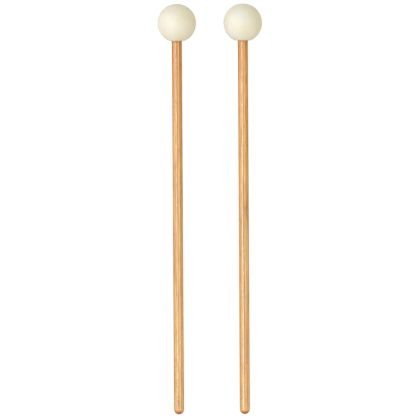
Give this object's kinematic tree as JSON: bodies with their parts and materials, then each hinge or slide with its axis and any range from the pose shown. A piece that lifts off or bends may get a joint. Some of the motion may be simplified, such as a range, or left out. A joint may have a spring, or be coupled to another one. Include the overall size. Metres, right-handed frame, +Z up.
{
  "type": "pair of percussion mallets",
  "caption": "Pair of percussion mallets with ivory rubber ball heads on straight lacquered wooden handles with rounded butts, lying side by side.",
  "frame": {"origin": "on the surface that the pair lies on, under the centre of the footprint, midway between the two mallets", "axes": "+Y along the handles towards the ball heads, +X from the left mallet to the right mallet, +Z up from the surface"},
  "size_m": [0.0964, 0.3798, 0.0355],
  "materials": {
    "head_rubber": "moulded ivory rubber, matt",
    "handle_wood": "pale hardwood dowel, clear satin lacquer",
    "glue": "cured clear amber adhesive"
  },
  "bodies": {
    "left_mallet": {"left_head": "head_rubber", "left_handle": "handle_wood", "left_glue_bond": "glue"},
    "right_mallet": {"right_head": "head_rubber", "right_handle": "handle_wood", "right_glue_bond": "glue"}
  },
  "joints": [
    {"name": "right_mallet_lift", "type": "slide", "parent": "left_mallet", "child": "right_mallet", "axis": [0, 0, 1], "range_m": [0, 0.15]}
  ]
}
